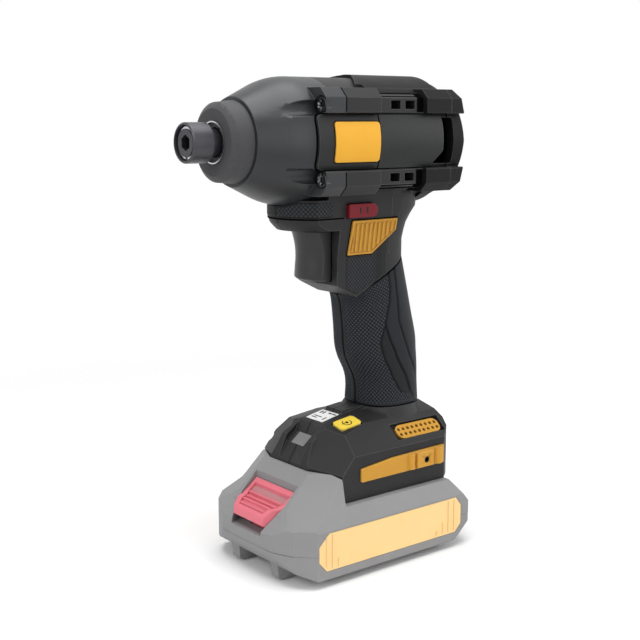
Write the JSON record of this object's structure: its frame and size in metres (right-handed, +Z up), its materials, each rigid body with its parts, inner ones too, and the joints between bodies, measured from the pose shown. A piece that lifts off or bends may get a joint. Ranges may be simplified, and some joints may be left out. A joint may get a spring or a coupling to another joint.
{
  "type": "cordless impact driver",
  "caption": "Cordless impact driver with a hex bit socket in a quick-release sleeve, hammer mechanism, brushless motor, trigger grip, work light and slide-on battery pack",
  "frame": {"origin": "middle of the overall box at the surface the battery pack stands on", "axes": "+X out of the nose, +Y to the user's left, +Z up"},
  "size_m": [0.148, 0.078, 0.2362],
  "materials": {
    "housing_plastic": "fine spark-eroded moulding texture",
    "panel_plastic": "smooth moulding",
    "guard_plastic": "soft-touch moulding",
    "grip_rubber": "diamond-textured overmould",
    "bumper_rubber": "moulded rubber",
    "case_metal": "die-cast, dark coated",
    "gear_metal": "machined casting",
    "black_steel": "black oxide",
    "tool_steel": "hardened and tempered",
    "spring_steel": "drawn wire",
    "bright_steel": "ground",
    "screw_steel": "zinc plated",
    "bronze": "sintered",
    "lamination_steel": "stacked sheets",
    "copper_wire": "enamelled wire",
    "board_green": "solder mask",
    "inner_plastic": "moulded",
    "badge_yellow": "smooth plate, bare",
    "trim_yellow": "moulded",
    "selector_red": "moulded",
    "light_lens": "frosted window",
    "button_yellow": "printed membrane",
    "label_white": "film label",
    "pack_plastic": "moulded",
    "latch_pink": "moulded",
    "label_yellow": "film label",
    "cell_can": "sleeved can"
  },
  "bodies": {
    "tool": {"anvil_bush": "bronze", "nose_bumper": "bumper_rubber", "hammer_case": "case_metal", "case_screws": "screw_steel", "ring_gear": "tool_steel", "gear_plate": "gear_metal", "spindle_bearing": "bright_steel", "front_bearing": "bright_steel", "rear_bearing": "bright_steel", "stator_core": "lamination_steel", "stator_coils": "copper_wire", "hall_board": "board_green", "housing_left": "housing_plastic", "housing_right": "housing_plastic", "housing_screws": "screw_steel", "rear_cover": "guard_plastic", "cover_screws": "screw_steel", "rear_guard_top": "guard_plastic", "rear_guard_bottom": "guard_plastic", "side_panel_left": "panel_plastic", "side_panel_right": "panel_plastic", "badge_plates": "badge_yellow", "trigger_spring": "spring_steel", "trigger_switch": "inner_plastic", "vent_panels": "trim_yellow", "grip_left": "grip_rubber", "grip_right": "grip_rubber", "work_light": "light_lens", "mode_label": "label_white", "foot_grilles": "trim_yellow", "accessory_rails": "trim_yellow", "controller_board": "board_green", "terminal_block": "inner_plastic"},
    "rotor": {"motor_shaft": "bright_steel", "rotor_core": "lamination_steel", "cooling_fan": "inner_plastic"},
    "carrier": {"cam_spindle": "tool_steel", "planet_pins": "bright_steel", "cam_balls": "bright_steel", "hammer_spring": "spring_steel"},
    "planet_1": {"planet_gear_1": "tool_steel"},
    "planet_2": {"planet_gear_2": "tool_steel"},
    "planet_3": {"planet_gear_3": "tool_steel"},
    "hammer": {"hammer": "tool_steel"},
    "anvil": {"anvil": "tool_steel", "detent_balls": "bright_steel", "sleeve_clip": "spring_steel", "sleeve_washer": "tool_steel", "sleeve_spring": "spring_steel"},
    "sleeve": {"bit_sleeve": "black_steel"},
    "trigger": {"trigger": "housing_plastic"},
    "selector": {"direction_selector": "selector_red"},
    "mode_button": {"mode_button": "button_yellow"},
    "pack": {"pack_lower_case": "pack_plastic", "pack_upper_case": "pack_plastic", "pack_labels": "label_yellow", "pack_cells": "cell_can", "pack_board": "board_green", "latch_spring": "spring_steel"},
    "latch": {"pack_latch": "latch_pink"}
  },
  "joints": [
    {"name": "carrier_spin", "type": "hinge", "parent": "tool", "child": "carrier", "pos_m": [0.02, 0, 0.205], "axis": [1, 0, 0], "continuous": true},
    {"name": "rotor_spin", "type": "hinge", "parent": "tool", "child": "rotor", "pos_m": [-0.03, 0, 0.205], "axis": [1, 0, 0], "continuous": true},
    {"name": "planet_1_spin", "type": "hinge", "parent": "carrier", "child": "planet_1", "pos_m": [0.0015, 0, 0.1942], "axis": [1, 0, 0], "continuous": true},
    {"name": "planet_2_spin", "type": "hinge", "parent": "carrier", "child": "planet_2", "pos_m": [0.0015, 0.00935, 0.2104], "axis": [1, 0, 0], "continuous": true},
    {"name": "planet_3_spin", "type": "hinge", "parent": "carrier", "child": "planet_3", "pos_m": [0.0015, -0.00935, 0.2104], "axis": [1, 0, 0], "continuous": true},
    {"name": "anvil_spin", "type": "hinge", "parent": "tool", "child": "anvil", "pos_m": [0.06, 0, 0.205], "axis": [1, 0, 0], "continuous": true},
    {"name": "hammer_slide", "type": "slide", "parent": "carrier", "child": "hammer", "axis": [-1, 0, 0], "range_m": [0, 0.005], "stiffness_N_per_m": 12000, "springref_m": -0.004, "deforming": ["hammer_spring"]},
    {"name": "sleeve_slide", "type": "slide", "parent": "anvil", "child": "sleeve", "axis": [1, 0, 0], "range_m": [0, 0.004], "stiffness_N_per_m": 1500, "springref_m": -0.002, "deforming": ["sleeve_spring"]},
    {"name": "trigger_pull", "type": "slide", "parent": "tool", "child": "trigger", "axis": [-1, 0, 0], "range_m": [0, 0.007], "stiffness_N_per_m": 1200, "springref_m": -0.003, "deforming": ["trigger_spring"]},
    {"name": "selector_slide", "type": "slide", "parent": "tool", "child": "selector", "axis": [0, 1, 0], "range_m": [-0.003, 0.003]},
    {"name": "mode_press", "type": "slide", "parent": "tool", "child": "mode_button", "axis": [-0.135, -0.2419, -0.9609], "range_m": [0, 0.0006], "stiffness_N_per_m": 4000, "springref_m": -0.0004},
    {"name": "pack_slide", "type": "slide", "parent": "tool", "child": "pack", "axis": [1, 0, 0], "range_m": [0, 0.065]},
    {"name": "latch_press", "type": "slide", "parent": "pack", "child": "latch", "axis": [0, 0, -1], "range_m": [0, 0.003], "stiffness_N_per_m": 2000, "springref_m": -0.002, "deforming": ["latch_spring"]}
  ],
  "couplings": [
    {"joint": "rotor_spin", "follows": "carrier_spin", "ratio": 4.5},
    {"joint": "planet_1_spin", "follows": "carrier_spin", "ratio": -2.8},
    {"joint": "planet_2_spin", "follows": "carrier_spin", "ratio": -2.8},
    {"joint": "planet_3_spin", "follows": "carrier_spin", "ratio": -2.8},
    {"joint": "anvil_spin", "follows": "carrier_spin", "ratio": 1}
  ]
}
